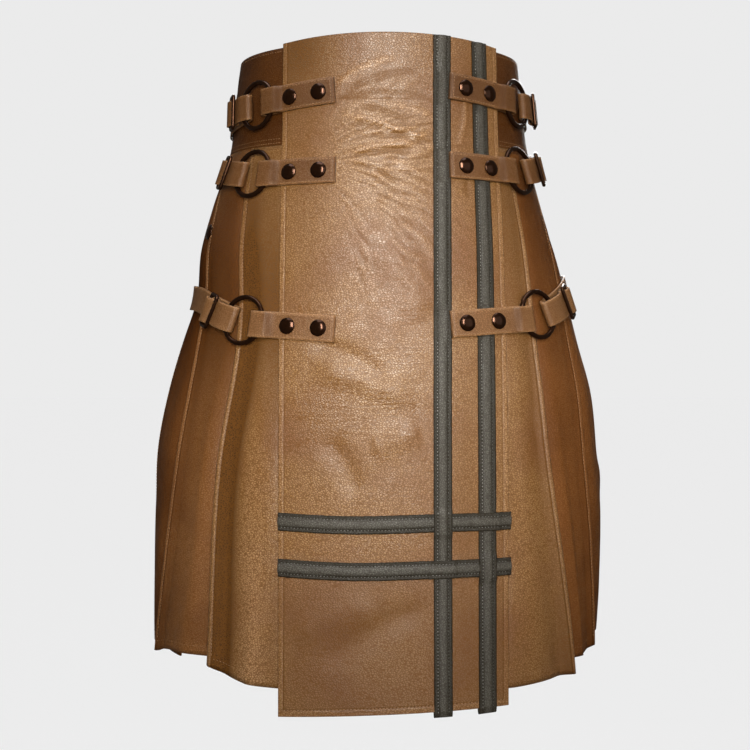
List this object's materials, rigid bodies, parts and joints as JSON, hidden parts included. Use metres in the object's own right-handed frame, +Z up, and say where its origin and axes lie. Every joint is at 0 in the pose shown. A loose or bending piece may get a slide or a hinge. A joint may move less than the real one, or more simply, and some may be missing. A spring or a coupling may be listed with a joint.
{
  "type": "scottish kilt",
  "caption": "Tan leather utility kilt in its worn hollow form: flat front apron with grey tapes, knife pleats round the sides and back, ringed side straps with snaps",
  "frame": {"origin": "centre of the waist opening, level with the top edge of the front apron", "axes": "+Z up out of the waist; -Y is the front of the kilt; +X is the wearer's left"},
  "size_m": [0.4523, 0.3754, 0.611],
  "materials": {
    "tan_leather": "pebbled, soft sheen",
    "strap_leather": "smooth, edge stitched",
    "grey_leather": "matt, two stitch rows",
    "bronze": "dark antique plating"
  },
  "bodies": {
    "root": {"apron": "tan_leather", "under_apron": "tan_leather", "yoke_left": "tan_leather", "yoke_right": "tan_leather", "pleat_left_1": "tan_leather", "pleat_left_2": "tan_leather", "pleat_left_3": "tan_leather", "pleat_left_4": "tan_leather", "pleat_left_5": "tan_leather", "pleat_left_6": "tan_leather", "pleat_right_1": "tan_leather", "pleat_right_2": "tan_leather", "pleat_right_3": "tan_leather", "pleat_right_4": "tan_leather", "pleat_right_5": "tan_leather", "pleat_right_6": "tan_leather", "pleat_back": "tan_leather", "tape_upright_a": "grey_leather", "tape_upright_b": "grey_leather", "tape_level_upper": "grey_leather", "tape_level_lower": "grey_leather", "tab_left_1": "strap_leather", "strap_left_1": "strap_leather", "ring_left_1": "bronze", "slider_left_1": "bronze", "snap_left_1_1": "bronze", "snap_left_1_2": "bronze", "tab_left_2": "strap_leather", "strap_left_2": "strap_leather", "ring_left_2": "bronze", "slider_left_2": "bronze", "snap_left_2_1": "bronze", "snap_left_2_2": "bronze", "tab_left_3": "strap_leather", "strap_left_3": "strap_leather", "ring_left_3": "bronze", "slider_left_3": "bronze", "snap_left_3_1": "bronze", "snap_left_3_2": "bronze", "tab_right_1": "strap_leather", "strap_right_1": "strap_leather", "ring_right_1": "bronze", "slider_right_1": "bronze", "snap_right_1_1": "bronze", "snap_right_1_2": "bronze", "tab_right_2": "strap_leather", "strap_right_2": "strap_leather", "ring_right_2": "bronze", "slider_right_2": "bronze", "snap_right_2_1": "bronze", "snap_right_2_2": "bronze", "tab_right_3": "strap_leather", "strap_right_3": "strap_leather", "ring_right_3": "bronze", "slider_right_3": "bronze", "snap_right_3_1": "bronze", "snap_right_3_2": "bronze", "snap_side": "bronze"}
  },
  "joints": []
}
